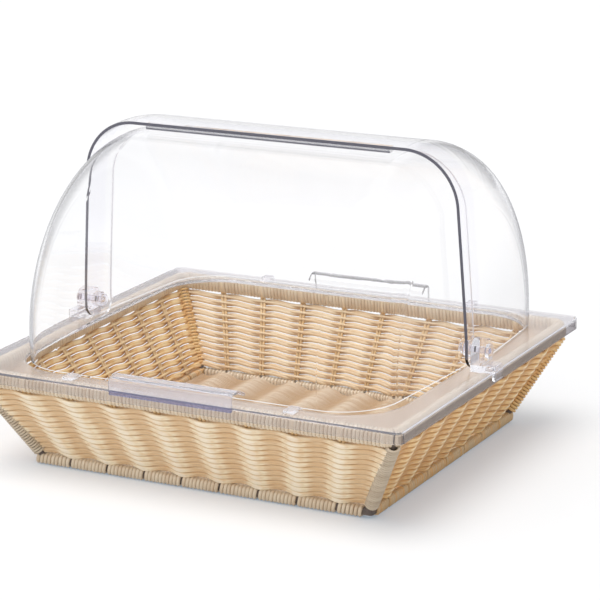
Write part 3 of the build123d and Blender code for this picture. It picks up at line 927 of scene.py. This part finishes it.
class BIN_OT_finish_cover(bpy.types.Operator):
    """Gives the cover, its lids and its fittings their clear plastic"""

    bl_idname = "bin.finish_cover"
    bl_label = "Finish the cover"

    def execute(self, context):
        finishes = context.scene.bin_finishes
        half_x, half_y, frame_top = COVER[1]
        flange_top = PADS[0][2]
        pivot = (PIN[0][2] + PIN[1][2]) / 2
        hair = 0.00005  # how far a glued face stands off
        skin, sharp = 0.0002, 0.0001  # how deep the painted colour of a sawn edge goes, and how softly it ends
        wall = 0.0034  # thickness of the frame's skirt and flange, with a little to spare
        rib_low = math.hypot(RIB[0][1], RIB[0][2] - pivot)
        rib_strip = 0.0017  # height of the darker strip of painted shade along the rib's lower edge
        lip_top = HANDLE[0][2] + 0.0042

        # Painted shade on the back lid's sawn edge.
        def painted_dark_back_edge(x, y, z):
            return y.under(BACK_SHELL[0][1] + skin, sharp)

        # Painted highlight on the front lid's sawn edge.
        def painted_highlight_front_edge(x, y, z):
            return y.over(FRONT_SHELL[1][1] - skin, sharp) * 0.75

        def lap(x, y, z):
            return y.size().under(FRONT_SHELL[1][1], soft=0.0003)

        # Painted shade along the frame's front and back top edges.
        def painted_dark_outer_edge(x, y, z):
            return y.size().over(half_y - 0.0010, soft=0.0002) * z.over(frame_top - 0.0012, soft=0.0003) * 0.8

        # Painted highlight along the frame's side top edges.
        def painted_highlight_side_edge(x, y, z):
            return x.size().over(half_x - 0.0011, soft=0.0003) * z.over(frame_top - 0.0013, soft=0.0004) * 0.8

        # Painted shade on the rib's sawn edge, darker in a strip along its lower side.
        def painted_dark_rib_edge(x, y, z):
            square = y * y + (z - pivot) * (z - pivot)
            radius = square.math("SQRT", square)
            strip = radius.under(rib_low + rib_strip, soft=0.0005)
            return (0.48 + strip * 0.45) * y.under(RIB[0][1] + skin, sharp)

        # Painted reflection of darker surroundings: fully on the skirt's sides, in part on its front and
        # back.
        def skirt(x, y, z):
            sides = x.size().over(half_x - wall, soft=0.0002)
            ends = y.size().over(half_y - wall, soft=0.0002) * 0.3
            return sides.larger(ends) * z.under(frame_top - wall, soft=0.0006)

        def frost(x, y, z):
            inside = (y.size() - half_y).larger(x.size() - half_x)
            return 0.03 + inside.under(-wall, soft=0.0003) * 0.13

        def lower_lip(x, y, z):
            return z.under(lip_top, soft=0.0004)

        # Painted shade along the back handle's top and ends.
        def painted_dark_grip_outline(x, y, z):
            top = z.over(HANDLE[1][2] - 0.0010, soft=0.0003)
            return top.larger(x.size().over(HANDLE[1][0] - 0.0009, soft=0.0003)) * 0.42

        clear = finishes.clear
        sheets = {
            "back_shell": clear_plastic("clear_back_lid", clear, tints=[(lap, finishes.lap)], cut=painted_dark_back_edge),
            "front_shell": clear_plastic("clear_front_lid", clear, pale=painted_highlight_front_edge),
            "cover_frame": clear_plastic(
                "clear_frame_plastic", finishes.frame, tints=[(skirt, finishes.skirt)],
                cut=painted_dark_outer_edge, pale=painted_highlight_side_edge, rough=frost, through=0.93)}
        for name, material in sheets.items():
            nodes[name].material_slots[0].material = material

        fitting = clear_plastic("clear_fittings", finishes.handle, rough=0.03, through=0.95,
                                bend=finishes.fitting_bend)
        pad = clear_plastic("clear_pads", finishes.handle, rough=0.08, through=0.9)
        handles = {
            "front": clear_plastic("clear_front_handle", finishes.grip,
                                   tints=[(lower_lip, finishes.lip)], rough=0.06, through=0.88),
            "back": clear_plastic("clear_back_handle", clear, cut=painted_dark_grip_outline, rough=0.03)}
        for side, end, lid_end in (("front", -1, FRONT_SHELL[0][1]), ("back", 1, BACK_SHELL[1][1])):
            clear_piece(f"rest_pads_{side}", "cover", pad, [
                (lambda at: at.z < flange_top + TINY, (0, 0, hair))])
            clear_piece(f"{side}_handle", f"{side}_lid", handles[side], [
                (lambda at: math.hypot(at.y, at.z - pivot) < abs(lid_end) + hair, (0, end * hair, 0))])
        under = BACK_SHELL[1][1] - 0.003  # the inside of the back lid
        clear_piece("back_edge_rib", "back_lid",
                    clear_plastic("clear_rib", clear, cut=painted_dark_rib_edge),
                    [(lambda at: math.hypot(at.y, at.z - pivot) > under - hair, (0, 0, -hair))])
        for side, end in (("left", -1), ("right", 1)):
            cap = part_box(f"pivot_cap_{side}")
            inner = min(abs(cap[0][0]), abs(cap[1][0]))
            clear_piece(f"pivot_bracket_{side}", "cover", fitting, [
                (lambda at: abs(at.z - flange_top) < TINY and abs(at.x) < half_x + hair, (0, 0, hair))])
            clear_piece(f"pivot_cap_{side}", "cover", fitting, [
                (lambda at: abs(abs(at.x) - inner) < TINY, (end * hair, 0, 0))])
            open_mesh(clear_piece(f"pivot_pin_{side}", "cover", fitting, []))
            bpy.ops.transform.resize(value=(1, 0.98, 0.98), center_override=(0, 0, pivot))
            close_mesh()
            nodes[f"pivot_spacer_{side}"].material_slots[0].material = fitting
        return {"FINISHED"}


# ---- the stage
class BIN_OT_set_stage(bpy.types.Operator):
    """Lays the pale floor, hangs the lamps and sets up the camera"""

    bl_idname = "bin.set_stage"
    bl_label = "Set the stage"

    def execute(self, context):
        scene = context.scene
        stage = scene.bin_stage
        scene.view_settings.view_transform = "Standard"
        scene.cycles.transmission_bounces = 48
        scene.cycles.max_bounces = 48
        scene.cycles.transparent_max_bounces = 32
        right = Vector((math.cos(stage.around), math.sin(stage.around), 0))
        ahead = Vector((-right.y, right.x, 0))
        front_left = Vector((-0.25, -0.90, 0.30)).normalized()
        to_lamp = Vector((-0.12, -0.12, 0.985))
        target = Vector((0, 0, 0.15))

        floor = start_piece(bpy.ops.mesh.primitive_plane_add, size=12, location=(0, 0, -0.0005))
        floor.name = "studio_floor"
        material = bpy.data.materials.new("pale_floor")
        made = NodeSet(material)
        cast = made.add("ShaderNodeBsdfDiffuse", None, {"Color": (0.706, 0.671, 0.642, 1)})
        glow = made.add("ShaderNodeEmission", None, {
            "Color": (0.78, 1.02, 1.26, 1), "Strength": stage.glow})
        lit = made.add("ShaderNodeAddShader", None, {0: cast.outputs[0], 1: glow.outputs[0]})
        direct, mirrored, through = made.rays("Camera", "Glossy", "Transmission")
        x, y, z = made.axes(made.place())
        beside = (x * right.x + y * right.y).size()
        dusk = beside.over(0.38, soft=0.10) * beside.under(0.85, soft=0.35) * stage.dusk * mirrored
        dark = made.add("ShaderNodeEmission", None, {"Color": (0.88, 0.88, 1, 1), "Strength": 0.2})
        plain = made.add("ShaderNodeBsdfDiffuse", None, {"Color": (0.75, 0.75, 0.75, 1)})
        made.end(made.blend(mirrored.larger(through).larger(direct), plain, made.blend(dusk, lit, dark)))
        floor.data.materials.append(material)

        world = bpy.data.worlds.new("white_studio")
        scene.world = world
        made = NodeSet(world)
        direct, mirrored, through = made.rays("Camera", "Glossy", "Transmission")
        towards = made.add("ShaderNodeTexCoord").outputs["Generated"]

        def along(direction):
            return made.number(made.add("ShaderNodeVectorMath", {"operation": "DOT_PRODUCT"},
                                        {0: towards, 1: direction}), "Value")

        sideways = along(right).size()
        dusk = (sideways.over(0.14, soft=0.08) * sideways.under(0.62, soft=0.25)
                * along(ahead).over(0.3, soft=0.3))
        fill = (along(front_left) * stage.lean + 1) * stage.fill
        bent = mirrored.larger(through)
        strength = (bent - mirrored * dusk * stage.dusk + (1 - bent) * fill).larger(direct)
        sky = made.add("ShaderNodeBackground", None, {"Color": (1, 1, 1, 1), "Strength": strength})
        made.add("ShaderNodeOutputWorld", None, {"Surface": sky.outputs[0]})

        bpy.ops.object.select_all(action="DESELECT")
        bpy.ops.object.light_add(type="SUN")
        lamp = context.object
        lamp.name = "key_lamp"
        lamp.rotation_euler = to_lamp.to_track_quat("Z", "Y").to_euler()
        lamp.data.energy = stage.key
        lamp.data.angle = math.radians(46)
        lamp.data.color = (1.0, 0.985, 0.96)

        flat = math.cos(stage.above)
        away = Vector((math.sin(stage.around) * flat, -math.cos(stage.around) * flat,
                       math.sin(stage.above)))
        up = away.cross(right)
        level, lean = math.cos(stage.roll), math.sin(stage.roll)
        bpy.ops.object.select_all(action="DESELECT")
        bpy.ops.object.camera_add()
        camera = context.object
        camera.name = "camera"
        turn = Matrix((right * level + up * lean, up * level - right * lean, away)).transposed().to_4x4()
        camera.matrix_world = Matrix.Translation(target + away * stage.away) @ turn
        camera.data.sensor_width = 36
        camera.data.lens = stage.lens
        camera.data.shift_x = stage.aside
        camera.data.clip_end = 50
        scene.camera = camera
        return {"FINISHED"}


OPERATORS = (
    BIN_OT_wind_rim,
    BIN_OT_wind_base,
    BIN_OT_wind_corners,
    BIN_OT_weave_walls,
    BIN_OT_set_stakes,
    BIN_OT_weave_floor,
    BIN_OT_finish_steel,
    BIN_OT_finish_cover,
    BIN_OT_set_stage,
)
GROUPS = {"bin_sizes": BinBasketSizes, "bin_finishes": BinFinishes, "bin_stage": BinStage}


class BIN_PT_tools(bpy.types.Panel):
    """Lists the steps that build the bin"""

    bl_idname = "BIN_PT_tools"
    bl_label = "Bread Bin"
    bl_space_type = "VIEW_3D"
    bl_region_type = "UI"
    bl_category = "Bread Bin"

    def draw(self, context):
        for operator in OPERATORS:
            self.layout.operator(operator.bl_idname)
        for name, group in GROUPS.items():
            box = self.layout.box()
            for setting in group.__annotations__:
                box.prop(getattr(context.scene, name), setting)


CLASSES = (*GROUPS.values(), *OPERATORS, BIN_PT_tools)


def register():
    for each in CLASSES:
        bpy.utils.register_class(each)
    for name, group in GROUPS.items():
        setattr(bpy.types.Scene, name, PointerProperty(type=group))


def unregister():
    for name in GROUPS:
        delattr(bpy.types.Scene, name)
    for each in reversed(CLASSES):
        bpy.utils.unregister_class(each)


def main():
    register()
    for operator in OPERATORS:
        group, name = operator.bl_idname.split(".")
        getattr(getattr(bpy.ops, group), name)()


if __name__ == "__main__":
    main()
